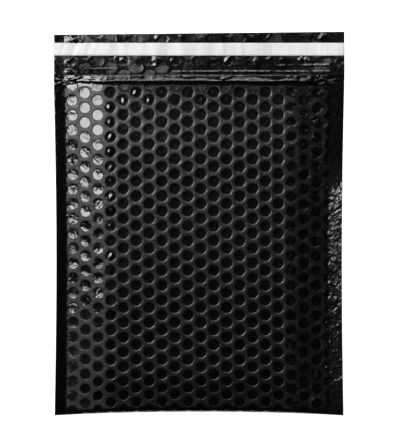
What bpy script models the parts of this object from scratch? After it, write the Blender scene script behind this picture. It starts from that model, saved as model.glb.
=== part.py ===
"""Padded envelope: a black film mailer lined with bubble film, lying on its back with its flap open.

Metres, +Z up. +Y points to the flap, and the origin is on the floor under the middle of the envelope.
u runs across the flat envelope and v along it. place() then bows the edges the way the padding pulls them.
"""

import math

import bmesh
import bpy
from mathutils import Vector

# Overall flat size
WIDTH = 0.2382
BODY_LENGTH = 0.2793
FLAP_LENGTH = 0.03385

# Side seals, and the mouth's lip that is crushed flat
LEFT_SEAL = 0.0094
RIGHT_SEAL = 0.0130
SEAL_THICKNESS = 0.0012
SEAL_LIFT = 0.0034
LIP_DEPTH = 0.00923
STEP_RUN = 0.0038

# Walls, from outside in: film, clearance, lining, and the pocket between the two linings
FILM = 0.0009
CLEARANCE = 0.0003
LINING = 0.0022
POCKET_GAP = 0.0052
MOUTH_OPENING = 0.0074
SIDE_WELD = 0.0015
LINING_SIDE_GAP = 0.0020
LINING_WELD = 0.0040

# How the padding rounds off towards its edges
SIDE_TAPER = 0.034
SIDE_CREST = 0.25
FOLD_NOSE = 0.0035
FOLD_TAPER = 0.032
FOLD_SHARE = 0.52
FLAP_SETTLE_RUN = 0.024

# How the padding bows the outline
SIDE_PINCH = 0.0018
CORNER_TRIM = 0.0009
FOLD_BOW = 0.0029
FOLD_BOW_RUN = 0.040
FLAP_TILT = 0.00125

# Bubbles pressed through the front, in upright columns, each column half a pitch off the next
BUBBLE_PITCH = 0.012128
COLUMN_STEP = 0.010594
BUBBLE_DIAMETER = 0.0092
PIT_DEPTH = 0.0005
FOLD_BAND = 0.005

# Adhesive on the flap, and the liner over it
LINER_WIDTH = 0.0105
LINER_THICKNESS = 0.00025
LINER_END = 0.0003
LINER_FROM_FLAP_END = 0.00805
ADHESIVE_WIDTH = 0.008
ADHESIVE_THICKNESS = 0.0003
ADHESIVE_END = 0.004

# Mesh fineness
NOSE_STEPS = 4
CREST_STEPS = 3
FOLD_SHARES = (0, 0.25, 0.5, 0.75, 1)
MERGE = 0.000001
SHARP_ANGLE = math.radians(35)

# Places that follow from the sizes
HALF_WIDTH = WIDTH / 2
FOLD_V = -(BODY_LENGTH + FLAP_LENGTH + FLAP_TILT) / 2
MOUTH_V = FOLD_V + BODY_LENGTH
FLAP_END_V = MOUTH_V + FLAP_LENGTH
PADDING_END_V = MOUTH_V - LIP_DEPTH
SEAL_LEFT_U = LEFT_SEAL - HALF_WIDTH
SEAL_RIGHT_U = HALF_WIDTH - RIGHT_SEAL
FULL_THICKNESS = 2 * (FILM + CLEARANCE + LINING) + POCKET_GAP
LINING_END_V = PADDING_END_V - CLEARANCE
LINING_INSET = SIDE_WELD + LINING_SIDE_GAP
POCKET_INSET = LINING_INSET + LINING_WELD


def clamp(value):
    """value held between 0 and 1."""
    return min(max(value, 0.0), 1.0)


def ease(value):
    """0 to 1 with a soft start and end."""
    t = clamp(value)
    return t * t * (3 - 2 * t)


def side_puff(u, inset):
    """How full the padding is across the envelope: 0 at the side seals moved in by inset, 1 in the middle.

    It climbs in a straight slope, which a parabola levels off over the last SIDE_CREST of the taper.
    """
    into = clamp(min(u - SEAL_LEFT_U - inset, SEAL_RIGHT_U - inset - u) / SIDE_TAPER)
    slope = 1 / (1 - SIDE_CREST / 2)
    if into < 1 - SIDE_CREST:
        return slope * into
    return 1 - slope * (1 - into) ** 2 / (2 * SIDE_CREST)


def fold_puff(v, inset):
    """How full it is along the envelope: a round nose at the fold, then a slow rise to 1."""
    into = v - FOLD_V - inset
    nose = math.sqrt(1 - (1 - clamp(into / FOLD_NOSE)) ** 2)
    return FOLD_SHARE * nose + (1 - FOLD_SHARE) * ease((into - FOLD_NOSE) / FOLD_TAPER)


def mouth_fall(v, share):
    """1 in the padding, falling to share at the crushed lip along the mouth."""
    return 1 - (1 - share) * ease((v - PADDING_END_V) / STEP_RUN)


def bag_thickness(u, v):
    """Outside of the film, front to back."""
    puffed = FULL_THICKNESS - SEAL_THICKNESS
    lip_share = (MOUTH_OPENING + 2 * FILM - SEAL_THICKNESS) / puffed
    return SEAL_THICKNESS + puffed * side_puff(u, 0) * fold_puff(v, 0) * mouth_fall(v, lip_share)


def cavity_thickness(u, v):
    """Inside of the film."""
    hollow = FULL_THICKNESS - 2 * FILM
    return hollow * side_puff(u, SIDE_WELD) * fold_puff(v, FILM) * mouth_fall(v, MOUTH_OPENING / hollow)


def lining_thickness(u, v):
    """Outside of the folded bubble lining, clear of the film all round."""
    folded = POCKET_GAP + 2 * LINING
    return folded * side_puff(u, LINING_INSET) * fold_puff(v, FILM + CLEARANCE)


def pocket_thickness(u, v):
    """The pocket between the two layers of the lining."""
    return POCKET_GAP * side_puff(u, POCKET_INSET) * fold_puff(v, FILM + CLEARANCE + LINING)


def back_height(u, v):
    """Underside: flat on the floor in the middle, lifted at the seals and the fold, down again at the flap."""
    lift = SEAL_LIFT * (1 - ease((v - PADDING_END_V) / FLAP_SETTLE_RUN))
    return lift * (1 - side_puff(u, 0) * fold_puff(v, 0))


def middle_height(u, v):
    return back_height(u, v) + bag_thickness(u, v) / 2


def front_height(u, v):
    return back_height(u, v) + bag_thickness(u, v)


def flap_height(u, v):
    """Top of the flap, which starts level with the inside of the back film at the mouth."""
    at_mouth = (bag_thickness(u, MOUTH_V) - cavity_thickness(u, MOUTH_V)) / 2
    return back_height(u, v) + FILM + (at_mouth - FILM) * (1 - ease((v - MOUTH_V) / STEP_RUN))


def above_middle(thickness):
    """The upper surface of a layer that is centred in the bag."""
    return lambda u, v: middle_height(u, v) + thickness(u, v) / 2


def below_middle(thickness):
    """The lower surface of such a layer."""
    return lambda u, v: middle_height(u, v) - thickness(u, v) / 2


def place(u, v, z):
    """Flat place to real place: sides drawn in at mid-length, fold bowed in, flap end a little askew."""
    across = u / HALF_WIDTH
    down = clamp((MOUTH_V - v) / BODY_LENGTH)
    pinch = SIDE_PINCH * math.sin(math.pi * down) + CORNER_TRIM * down
    x = u - math.copysign(pinch * abs(across) ** 3, u)
    fold = FOLD_BOW * (1 - across**2) * ease((FOLD_V + FOLD_BOW_RUN - v) / FOLD_BOW_RUN)
    tilt = FLAP_TILT * across * clamp((v - MOUTH_V) / FLAP_LENGTH)
    return Vector((x, v + fold + tilt, z))


def across_stations(inset):
    """u values between the seals moved in by inset, closer together where the slope levels off."""
    left = SEAL_LEFT_U + inset
    right = SEAL_RIGHT_U - inset
    shares = [1 - SIDE_CREST * (1 - i / CREST_STEPS) for i in range(CREST_STEPS + 1)]
    steps = [SIDE_TAPER * share for share in (0, shares[0] / 2, *shares)]
    return [left + step for step in steps] + [right - step for step in reversed(steps)]


def fold_stations(inset):
    """v values up the round nose of the fold and the rise after it."""
    start = FOLD_V + inset
    nose = [start + FOLD_NOSE * (1 - math.cos(math.pi / 2 * i / NOSE_STEPS)) for i in range(NOSE_STEPS)]
    return nose + [start + FOLD_NOSE + share * FOLD_TAPER for share in FOLD_SHARES]


def lip_stations():
    """v values down the step from the padding to the lip, then to the mouth."""
    step = [PADDING_END_V + STEP_RUN * share for share in (0, 0.33, 0.67, 1)]
    return [*step, MOUTH_V]


def sheet(bm, us, vs, height):
    """A grid over us and vs at the given height. Returns its vertices, one list for each v."""
    rows = [[bm.verts.new(place(u, v, height(u, v))) for u in us] for v in vs]
    for low, high in zip(rows, rows[1:]):
        for i in range(len(us) - 1):
            bm.faces.new((low[i], low[i + 1], high[i + 1], high[i]))
    return rows


def join_lines(bm, first, second, axis):
    """Triangles between two lines of vertices, both running up the same axis, whatever their counts."""
    i = 0
    j = 0
    while i < len(first) - 1 or j < len(second) - 1:
        a = first[i]
        b = second[j]
        first_left = i < len(first) - 1
        if j == len(second) - 1 or (first_left and first[i + 1].co[axis] <= second[j + 1].co[axis]):
            i += 1
            corners = (a, first[i], b)
        else:
            j += 1
            corners = (a, second[j], b)
        if len(set(corners)) == 3:
            bm.faces.new(corners)


def column(rows, index):
    """One line of a sheet's vertices, along v."""
    return [row[index] for row in rows]


def finish(bm, name, look, collection):
    """Welds the sheets into one closed body, turns its faces out and makes the object."""
    bmesh.ops.remove_doubles(bm, verts=bm.verts, dist=MERGE)
    bmesh.ops.recalc_face_normals(bm, faces=bm.faces)
    mesh = bpy.data.meshes.new(name)
    bm.to_mesh(mesh)
    bm.free()
    mesh.shade_smooth()
    mesh.set_sharp_from_angle(angle=SHARP_ANGLE)
    mesh.materials.append(look)
    thing = bpy.data.objects.new(name, mesh)
    collection.objects.link(thing)
    return thing


def material(name, colour, roughness):
    """A plain plastic look."""
    look = bpy.data.materials.new(name)
    look.use_nodes = True
    shader = look.node_tree.nodes["Principled BSDF"]
    shader.inputs["Base Color"].default_value = (*colour, 1)
    shader.inputs["Roughness"].default_value = roughness
    shader.inputs["Metallic"].default_value = 0
    return look


def bubbled_front(bm):
    """The front of the bag, flat at first so that Blender's inset can sink each bubble, then lifted to its crown."""
    columns = int((SEAL_RIGHT_U - SEAL_LEFT_U) / COLUMN_STEP)
    pattern_length = PADDING_END_V - FOLD_V - FOLD_NOSE - FOLD_BAND
    halves = int(pattern_length / (BUBBLE_PITCH / 2))
    lines = [SEAL_LEFT_U + i * COLUMN_STEP for i in range(columns + 1)]
    us = [-HALF_WIDTH, *lines, SEAL_RIGHT_U, HALF_WIDTH]
    pattern_vs = [PADDING_END_V - m * BUBBLE_PITCH / 2 for m in range(halves + 1)]
    nose = fold_stations(0)[: NOSE_STEPS + 1]
    vs = [*reversed(lip_stations()[1:]), *pattern_vs, *reversed(nose)]
    top = vs.index(PADDING_END_V)
    rows = []
    for j, v in enumerate(vs):
        m = j - top
        shift = COLUMN_STEP / 6 if 0 <= m <= halves else 0
        rows.append([])
        for i, u in enumerate(us):
            inner = 1 < i <= columns
            side = shift * (1 if (i - 1 + m) % 2 else -1) * inner
            rows[-1].append(bm.verts.new((u + side, v, 0)))
    cells = []
    for i in range(len(us) - 1):
        j = 0
        while j < len(vs) - 1:
            m = j - top
            in_column = 0 < i <= columns
            whole = in_column and (m + i) % 2 == 0 and 0 <= m <= halves - 2
            span = 2 if whole else 1
            right_side = [rows[k][i + 1] for k in range(j + span, j - 1, -1)]
            left_side = [rows[k][i] for k in range(j, j + span + 1)]
            face = bm.faces.new(right_side + left_side)
            if whole:
                cells.append(face)
            j += span
    web = (BUBBLE_PITCH - BUBBLE_DIAMETER) / 2
    bm.normal_update()
    bmesh.ops.inset_individual(bm, faces=cells, thickness=web, depth=-PIT_DEPTH, use_even_offset=True)
    for vert in bm.verts:
        u, v, sunk = vert.co
        vert.co = place(u, v, front_height(u, v) + sunk)
    return rows[::-1]


def outer_film(collection):
    """Film bag: dimpled front, back that runs on as the flap, welded sides and a round fold, open at the mouth."""
    bm = bmesh.new()
    front = bubbled_front(bm)
    inner_us = across_stations(SIDE_WELD)
    outer_us = across_stations(0)
    settle_vs = [MOUTH_V + (FLAP_END_V - MOUTH_V) * share for share in (0.18, 0.36, 1)]
    back_vs = [*fold_stations(0), *lip_stations(), *settle_vs]
    back = sheet(bm, [-HALF_WIDTH, *outer_us, HALF_WIDTH], back_vs, back_height)
    flap = sheet(bm, [-HALF_WIDTH, *inner_us, HALF_WIDTH], [MOUTH_V, *settle_vs], flap_height)
    cavity_vs = [*fold_stations(FILM), *lip_stations()]
    ceiling = sheet(bm, inner_us, cavity_vs, above_middle(cavity_thickness))
    sheet(bm, inner_us, cavity_vs, below_middle(cavity_thickness))
    join_lines(bm, front[0], back[0], 0)
    join_lines(bm, flap[-1], back[-1], 0)
    join_lines(bm, front[-1], [flap[0][0], *ceiling[-1], flap[0][-1]], 0)
    for end in (0, -1):
        join_lines(bm, column(front, end) + column(flap, end), column(back, end), 1)
    look = material("black_film", (0.010, 0.010, 0.011), 0.22)
    return finish(bm, "outer_film", look, collection)


def bubble_lining(collection):
    """Lining folded in half at the bottom, its two layers welded at the sides, with the pocket between them."""
    bm = bmesh.new()
    us = across_stations(LINING_INSET)
    vs = [*fold_stations(FILM + CLEARANCE), LINING_END_V]
    pocket_us = across_stations(POCKET_INSET)
    pocket_vs = [*fold_stations(FILM + CLEARANCE + LINING), LINING_END_V]
    for side in (above_middle, below_middle):
        outside = sheet(bm, us, vs, side(lining_thickness))
        inside = sheet(bm, pocket_us, pocket_vs, side(pocket_thickness))
        corners = outside[-1][0], outside[-1][-1]
        join_lines(bm, outside[-1], [corners[0], *inside[-1], corners[1]], 0)
    look = material("bubble_film", (0.014, 0.014, 0.015), 0.30)
    return finish(bm, "bubble_lining", look, collection)


def strip(name, width, thickness, end, floor, look, collection):
    """A flat tape across the flap, centred on the liner's line."""
    bm = bmesh.new()
    bmesh.ops.create_cube(bm, size=1)
    middle_v = FLAP_END_V - LINER_FROM_FLAP_END - LINER_WIDTH / 2
    bmesh.ops.scale(bm, vec=(WIDTH - 2 * end, width, thickness), verts=bm.verts)
    bmesh.ops.translate(bm, vec=(0, middle_v, floor + thickness / 2), verts=bm.verts)
    return finish(bm, name, look, collection)


def build():
    for thing in list(bpy.data.objects):
        bpy.data.objects.remove(thing)
    collection = bpy.data.collections.new("padded_envelope")
    bpy.context.scene.collection.children.link(collection)
    outer_film(collection)
    bubble_lining(collection)
    adhesive_floor = FILM + CLEARANCE
    glue = material("adhesive", (0.62, 0.58, 0.46), 0.35)
    strip("adhesive_strip", ADHESIVE_WIDTH, ADHESIVE_THICKNESS, ADHESIVE_END, adhesive_floor, glue, collection)
    liner_floor = adhesive_floor + ADHESIVE_THICKNESS + CLEARANCE
    white = material("release_liner", (0.80, 0.80, 0.79), 0.38)
    strip("release_liner", LINER_WIDTH, LINER_THICKNESS, LINER_END, liner_floor, white, collection)


build()
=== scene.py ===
# %% [markdown]
# # A padded envelope
# This notebook dresses a film mailer: black polyethylene film laminated to bubble film, folded in half,
# welded along its sides and left open at the top, with a flap that carries glue under a white liner.
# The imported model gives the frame: every piece below is placed by its boxes, in metres, +Z up, and lies
# on its back with the flap towards +Y.

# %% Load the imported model
import math

import bmesh
import bpy
import numpy as np
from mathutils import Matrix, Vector


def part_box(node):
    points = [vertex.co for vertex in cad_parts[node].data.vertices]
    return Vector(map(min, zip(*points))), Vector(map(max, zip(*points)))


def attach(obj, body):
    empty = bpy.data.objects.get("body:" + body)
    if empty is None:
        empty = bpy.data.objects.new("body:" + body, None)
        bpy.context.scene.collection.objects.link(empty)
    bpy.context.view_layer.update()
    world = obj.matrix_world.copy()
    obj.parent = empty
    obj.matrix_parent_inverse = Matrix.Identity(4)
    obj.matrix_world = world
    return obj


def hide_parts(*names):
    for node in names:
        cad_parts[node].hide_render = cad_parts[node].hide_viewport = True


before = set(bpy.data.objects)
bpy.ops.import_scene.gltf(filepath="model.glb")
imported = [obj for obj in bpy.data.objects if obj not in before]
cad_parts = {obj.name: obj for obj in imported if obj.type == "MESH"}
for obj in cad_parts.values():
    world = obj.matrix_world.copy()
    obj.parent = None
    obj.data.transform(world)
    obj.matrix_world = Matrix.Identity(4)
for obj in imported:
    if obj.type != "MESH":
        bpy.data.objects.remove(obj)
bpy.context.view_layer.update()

film_low, film_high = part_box("outer_film")
liner_low, liner_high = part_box("release_liner")
glue_low, glue_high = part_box("adhesive_strip")
print("the film spans", film_low, film_high)

# %% [markdown]
# ## Sizes
# Width, length and thickness come from the frame. The other sizes are the mailer's own: the welds at the
# sides, the crushed lip along the mouth, the two padded layers, and the bubble film's pitch. `u` runs
# across the flat film and `v` along it, as a pattern on a table would be measured.

# %% Driving sizes
MM = 0.001
WIDTH = film_high.x - film_low.x
THICKNESS = film_high.z - film_low.z
BODY_LENGTH = 279.3 * MM
FLAP_LENGTH = 33.85 * MM
FLAP_TILT = 1.25 * MM
LEFT_SEAL = 9.4 * MM
RIGHT_SEAL = 13.0 * MM
SEAL_LIFT = 3.4 * MM
CAD_SEAL = 1.2 * MM
WELD = 0.5 * MM
LIP_DEPTH = 9.23 * MM
STEP_RUN = 3.8 * MM
FILM = 0.9 * MM
CLEARANCE = 0.3 * MM
LINING = 2.2 * MM
POCKET_GAP = 5.2 * MM
SIDE_TAPER = 34 * MM
SIDE_CREST = 0.25
FOLD_NOSE = 3.5 * MM
FOLD_TAPER = 32 * MM
FOLD_SHARE = 0.44
LONG_TAPER = 135 * MM
LONG_SHARE = 0.30
FLAP_SETTLE_RUN = 44 * MM
SIDE_PINCH = 1.8 * MM
CORNER_TRIM = 0.9 * MM
FOLD_BOW = 2.9 * MM
FOLD_BOW_RUN = 40 * MM
PITCH = 12.128 * MM
COLUMN = 10.594 * MM
BUBBLE_RADIUS = 4.6 * MM

HALF_WIDTH = WIDTH / 2
FOLD_V = film_low.y
MOUTH_V = FOLD_V + BODY_LENGTH
FLAP_END_V = MOUTH_V + FLAP_LENGTH
PADDING_END_V = MOUTH_V - LIP_DEPTH
SEAL_LEFT_U = LEFT_SEAL - HALF_WIDTH
SEAL_RIGHT_U = HALF_WIDTH - RIGHT_SEAL
LINING_END_V = PADDING_END_V - CLEARANCE
RIDGE_V = MOUTH_V - 5.4 * MM
RIDGE_HEIGHT = 1.0 * MM
RIDGE_RUN = 3.0 * MM
PADDING_FALL_RUN = 62 * MM
PADDING_FALL = 2.5 * MM
LIP_SINK = 0.9 * MM
WELD_CURL = 3.2 * MM
LEFT_CURL = 0.9 * MM
CURL_BETWEEN = (-178 * MM, 52 * MM)
CURL_FADE = 34 * MM
print("the mouth is at", MOUTH_V, "and the flap ends at", FLAP_END_V)

# %% [markdown]
# ## The form of the padding
# Air and bubbles fill the envelope evenly, so its section is a few simple curves multiplied together: a
# straight slope up from each side weld that levels off, a round nose at the fold, and a step down to the
# crushed lip. Writing them as functions of whole arrays lets one formula place every surface.


# %% Curves of the padding
def ease(x):
    """0 to 1 with soft ends: three x squared less two x cubed, held between 0 and 1."""
    t = np.clip(x, 0, 1)
    return t * t * (3 - 2 * t)


def bell(x, width):
    """1 in the middle, falling to 0 on both sides: e to the power of less the square of x over width."""
    return np.exp(-((x / width) ** 2))


def side_puff(u, inset=0.0):
    """Fullness across: a straight slope from the weld, levelled off by a parabola over its last share."""
    t = np.clip(np.minimum(u - SEAL_LEFT_U - inset, SEAL_RIGHT_U - inset - u) / SIDE_TAPER, 0, 1)
    slope = 1 / (1 - SIDE_CREST / 2)
    level = 1 - slope * (1 - t) ** 2 / (2 * SIDE_CREST)
    return np.where(t < 1 - SIDE_CREST, slope * t, level)


def nose(v, inset, length):
    """A quarter ellipse that leaves the fold upright: the root of one less (1 - t) squared."""
    t = np.clip((v - FOLD_V - inset) / length, 0, 1)
    return np.sqrt(1 - (1 - t) ** 2)


def fold_puff(v, inset=0.0):
    """Fullness along: the nose at the fold, a short rise, and a long slow rise to 1."""
    run = v - FOLD_V - inset - FOLD_NOSE
    short = (1 - FOLD_SHARE - LONG_SHARE) * ease(run / FOLD_TAPER)
    slow = LONG_SHARE * ease(run / LONG_TAPER)
    return FOLD_SHARE * nose(v, inset, FOLD_NOSE) + short + slow


def mouth_fall(v):
    """Share of the fullness left near the mouth: the padding eases down to its end, the film rises in a
    rounded ridge where the lip begins, and the lip sinks towards its edge."""
    ended = PADDING_FALL * ease((v - PADDING_END_V + PADDING_FALL_RUN) / PADDING_FALL_RUN)
    ridge = RIDGE_HEIGHT * ease((v - RIDGE_V + RIDGE_RUN) / RIDGE_RUN)
    sunk = LIP_SINK * np.sqrt(np.clip((v - RIDGE_V) / (MOUTH_V - RIDGE_V), 0, 1))
    return 1 - (ended - ridge + sunk) / (THICKNESS - WELD)


def bag_thickness(u, v):
    """Film to film: the weld's thickness, plus the padding's fullness, less the fall to the lip."""
    weld = WELD * nose(v, 0, WELD)
    return weld + (THICKNESS - WELD) * side_puff(u) * fold_puff(v) * mouth_fall(v)


def band(x, low, high, soft):
    """1 between low and high, fading to 0 over soft on each side."""
    return ease((x - low) / soft) * ease((high - x) / soft)


def weld_curl(u, v):
    """Rise of the welds towards their edges, as power 1.3 of the share of the way out: a little along the
    left one, and more along most of the right one, where it grows from the fold to the mouth."""
    out_right = np.clip((u - SEAL_RIGHT_U) / RIGHT_SEAL, 0, 1)
    out_left = np.clip((SEAL_LEFT_U - u) / LEFT_SEAL, 0, 1)
    share = 0.55 + 0.45 * ease((v + 110 * MM) / (90 * MM))
    curl = WELD_CURL * share * band(v, *CURL_BETWEEN, CURL_FADE)
    return curl * out_right**1.3 + LEFT_CURL * out_left**1.3


def seal_lift(v):
    """Height of the side welds above the floor: even along the bag, and easing to none on the flap."""
    return SEAL_LIFT * (1 - ease((v - PADDING_END_V) / FLAP_SETTLE_RUN))


def middle_height(u, v):
    """Height of the plane half way between front and back: half the thickness, and the welds' height
    where the bag is less than full."""
    full = side_puff(u) * fold_puff(v)
    welds = (seal_lift(v) + (CAD_SEAL - WELD) / 2) * (1 - full)
    return welds + bag_thickness(u, v) / 2 + weld_curl(u, v)


def place(u, v):
    """Flat place to real place: sides drawn in at mid-length, the fold bowed in, the flap's end askew."""
    across = u / HALF_WIDTH
    down = np.clip((MOUTH_V - v) / BODY_LENGTH, 0, 1)
    pinch = SIDE_PINCH * np.sin(np.pi * down) + CORNER_TRIM * down
    x = u - np.sign(u) * pinch * np.abs(across) ** 3
    fold = FOLD_BOW * (1 - across**2) * ease((FOLD_V + FOLD_BOW_RUN - v) / FOLD_BOW_RUN)
    tilt = FLAP_TILT * across * np.clip((v - MOUTH_V) / FLAP_LENGTH, 0, 1)
    return x, v + fold + tilt


print("thickness in the middle is", float(bag_thickness(0.0, 0.0)))

# %% [markdown]
# ## Wrapping film round the fold
# Film doesn't stretch, so its pattern must be laid along its own length round the nose of the fold. The
# length along the section is summed once on a fine line, and `unroll` looks up which `v` a length reaches.

# %% Length along the film at the fold
WRAP_START_V = FOLD_V + 2 * FOLD_NOSE
angles = np.linspace(0, np.pi / 2, 400)
wrap_v = FOLD_V + 2 * FOLD_NOSE * (1 - np.cos(angles))
wrap_half = bag_thickness(0.0, wrap_v) / 2
wrap_run = np.concatenate([[0], np.cumsum(np.hypot(np.diff(wrap_v), np.diff(wrap_half)))])
FOLD_LENGTH = wrap_run[-1] - 2 * FOLD_NOSE
FILM_START = FOLD_V - FOLD_LENGTH


def unroll(s):
    """v at length s along the film. Past the fold's nose the two are the same."""
    return np.where(s < WRAP_START_V, np.interp(s - FILM_START, wrap_run, wrap_v), s)


print("the nose takes", FOLD_LENGTH, "more film than its run")

# %% [markdown]
# ## Chance that repeats
# Film wrinkles differ from bubble to bubble. To get the same wrinkles on every run, whole numbers are
# mixed by multiplying and shifting their bits, and no random generator is needed.


# %% Noise on arrays
def scatter(i, j, seed):
    """A fixed fraction from 0 to 1 for each pair of whole numbers: products mixed by shifted bits."""
    whole_i = i.astype(np.int64)
    whole_j = j.astype(np.int64)
    mixed = (whole_i * 374761393 + whole_j * 668265263 + seed * 974634777) & 0xFFFFFFFF
    mixed = ((mixed ^ (mixed >> 13)) * 1274126177) & 0xFFFFFFFF
    return ((mixed ^ (mixed >> 16)) & 0xFFFFFF) / 0xFFFFFF


def waves(x, y, seed):
    """Smooth noise from -1 to 1: fixed corner values, blended by an eased share across each square."""
    i = np.floor(x)
    j = np.floor(y)
    across = ease(x - i)
    along = ease(y - j)
    low = scatter(i, j, seed) * (1 - across) + scatter(i + 1, j, seed) * across
    high = scatter(i, j + 1, seed) * (1 - across) + scatter(i + 1, j + 1, seed) * across
    return 2 * (low * (1 - along) + high * along) - 1


def crumple(x, y, seed):
    """Crushed film, 0 to about 1: the squared distance to the nearest of scattered points, so that
    shallow dishes meet in sharp creases."""
    i = np.floor(x)
    j = np.floor(y)
    nearest = np.full(np.shape(x), 9.0)
    for step_i in (-1, 0, 1):
        for step_j in (-1, 0, 1):
            spot_x = i + step_i + scatter(i + step_i, j + step_j, seed)
            spot_y = j + step_j + scatter(i + step_i, j + step_j, seed + 1)
            nearest = np.minimum(nearest, (x - spot_x) ** 2 + (y - spot_y) ** 2)
    return np.minimum(nearest, 1.0)


# %% [markdown]
# ## The bubble pattern
# Bubble film is made on a drum with round cups in staggered columns. Each bubble owns a six-sided cell of
# web, so the whole web can be tiled with one small polar patch: rings of points from the bubble's middle
# to its rim, and a last ring along the cell's outline, where it meets its neighbours point for point.


# %% One cell and its tiling
def cell_template(radii, side_points):
    """A cell's points and faces: a middle point, a ring at each radius, and the six-sided outline."""
    lean = PITCH**2 / (8 * COLUMN)
    near = COLUMN / 2 - lean
    far = COLUMN / 2 + lean
    half = PITCH / 2
    corners = np.array([(far, 0), (near, half), (-near, half), (-far, 0), (-near, -half), (near, -half)])
    shares = np.arange(side_points)[None, :, None] / side_points
    following = np.roll(corners, -1, axis=0)
    outline = (corners[:, None] * (1 - shares) + following[:, None] * shares).reshape(-1, 2)
    count = len(outline)
    towards = outline / np.linalg.norm(outline, axis=1)[:, None]
    rings = [towards * radius for radius in radii]
    points = np.concatenate([[(0.0, 0.0)], *rings, outline])
    here = np.arange(count)
    after = (here + 1) % count
    fan = np.stack([np.zeros(count, int), 1 + here, 1 + after], axis=1)
    bands = []
    for ring in range(len(radii)):
        inner = 1 + ring * count
        outer = inner + count
        bands.append(np.stack([inner + here, outer + here, outer + after, inner + after], axis=1))
    return points, fan, np.concatenate(bands)


def bubble_web(name, low, high, phase, templates, choose=None, cuts=()):
    """Cells tiled over a rectangle of flat film, welded at their outlines and trimmed to its edges. choose
    gives, for the bubbles' middles, which template each cell takes: rings at the rim for a clean bubble,
    even rings for crushed film. cuts are lengths along the film where faces are divided, for creases that
    run straight across."""
    first = np.floor((np.array(low) - phase) / (COLUMN, PITCH)) - 1
    last = np.ceil((np.array(high) - phase) / (COLUMN, PITCH)) + 1
    columns, rows = np.meshgrid(np.arange(first[0], last[0] + 1), np.arange(first[1], last[1] + 1))
    columns = columns.ravel()
    centres = np.stack([columns * COLUMN, (rows.ravel() + columns % 2 / 2) * PITCH], axis=1) + phase
    reach = np.array((COLUMN, PITCH))
    inside = np.all((centres > low - reach) & (centres < high + reach), axis=1)
    centres = centres[inside]
    kind = np.zeros(len(centres), int)
    if choose:
        kind = choose(centres[:, 0], centres[:, 1]).astype(int)
    flat = np.empty((0, 2))
    faces = []
    for number, (points, fan, bands) in enumerate(templates):
        chosen = centres[kind == number]
        starts = len(flat) + (np.arange(len(chosen)) * len(points))[:, None, None]
        flat = np.concatenate([flat, (chosen[:, None] + points[None]).reshape(-1, 2)])
        faces += (fan[None] + starts).reshape(-1, 3).tolist()
        faces += (bands[None] + starts).reshape(-1, 4).tolist()
    mesh = bpy.data.meshes.new(name)
    mesh.from_pydata(np.column_stack([flat, np.zeros(len(flat))]), [], faces)
    bm = bmesh.new()
    bm.from_mesh(mesh)
    bmesh.ops.remove_doubles(bm, verts=bm.verts, dist=0.01 * MM)
    trims = [(low, (-1, 0, 0)), (low, (0, -1, 0)), (high, (1, 0, 0)), (high, (0, 1, 0))]
    for corner, outward in trims:
        everything = bm.verts[:] + bm.edges[:] + bm.faces[:]
        bmesh.ops.bisect_plane(
            bm, geom=everything, dist=0.001 * MM, plane_co=(*corner, 0), plane_no=outward, clear_outer=True
        )
    for cut in cuts:
        everything = bm.verts[:] + bm.edges[:] + bm.faces[:]
        bmesh.ops.bisect_plane(bm, geom=everything, dist=0.02 * MM, plane_co=(0, cut, 0), plane_no=(0, 1, 0))
    bm.to_mesh(mesh)
    bm.free()
    triangles = sum(len(face.vertices) - 2 for face in mesh.polygons)
    print(name, "has", len(centres), "cells and", triangles, "triangles")
    return mesh


def flat_points(mesh):
    """A mesh's u and s as two arrays."""
    flat = np.empty(len(mesh.vertices) * 3, np.float32)
    mesh.vertices.foreach_get("co", flat)
    flat = flat.reshape(-1, 3).astype(float)
    return flat[:, 0], flat[:, 1]


def nearest_bubble(u, s, phase):
    """Offsets from the nearest bubble's middle, and that bubble's column and row."""
    best = np.full(u.shape, 1.0)
    found = [np.zeros(u.shape) for _ in range(4)]
    middle = np.round((u - phase[0]) / COLUMN)
    for step in (-1, 0, 1):
        column = middle + step
        half_pitch = column % 2 / 2
        row = np.round((s - phase[1]) / PITCH - half_pitch)
        off_u = u - phase[0] - column * COLUMN
        off_s = s - phase[1] - (row + half_pitch) * PITCH
        distance = np.hypot(off_u, off_s)
        closer = distance < best
        best = np.where(closer, distance, best)
        found = [np.where(closer, new, old) for new, old in zip((off_u, off_s, column, row), found)]
    return found


def set_points(mesh, x, y, z):
    """Writes three arrays as the mesh's places."""
    mesh.vertices.foreach_set("co", np.stack([x, y, z], axis=1).astype(np.float32).ravel())
    mesh.update()


def set_value(mesh, name, values):
    """Stores one number for each point, for the materials to read."""
    layer = mesh.attributes.new(name, "FLOAT", "POINT")
    layer.data.foreach_set("value", np.asarray(values, np.float32))


# %% [markdown]
# ## Colours and nodes
# Film finishes are given as sRGB hex values, the way a colour picker shows them, and turned linear once.
# One small helper adds any shader node with its settings and its links.


# %% Colour and node helpers
def linear(code):
    """sRGB hex to linear red, green, blue and full alpha."""
    parts = [int(code[i : i + 2], 16) / 255 for i in (1, 3, 5)]
    return (*[p / 12.92 if p <= 0.04045 else ((p + 0.055) / 1.055) ** 2.4 for p in parts], 1)


def add(tree, kind, links=None, **settings):
    """Adds a node. settings name its own values or its inputs; links give what feeds an input."""
    node = tree.nodes.new(kind)
    for key, value in settings.items():
        if hasattr(node, key):
            setattr(node, key, value)
        else:
            node.inputs[key.replace("_", " ")].default_value = value
    for key, source in (links or {}).items():
        tree.links.new(source, node.inputs[key])
    return node


def new_material(name):
    """An empty node material and its surface output."""
    look = bpy.data.materials.new(name)
    look.use_nodes = True
    look.node_tree.nodes.clear()
    output = look.node_tree.nodes.new("ShaderNodeOutputMaterial")
    return look, look.node_tree, output


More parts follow.
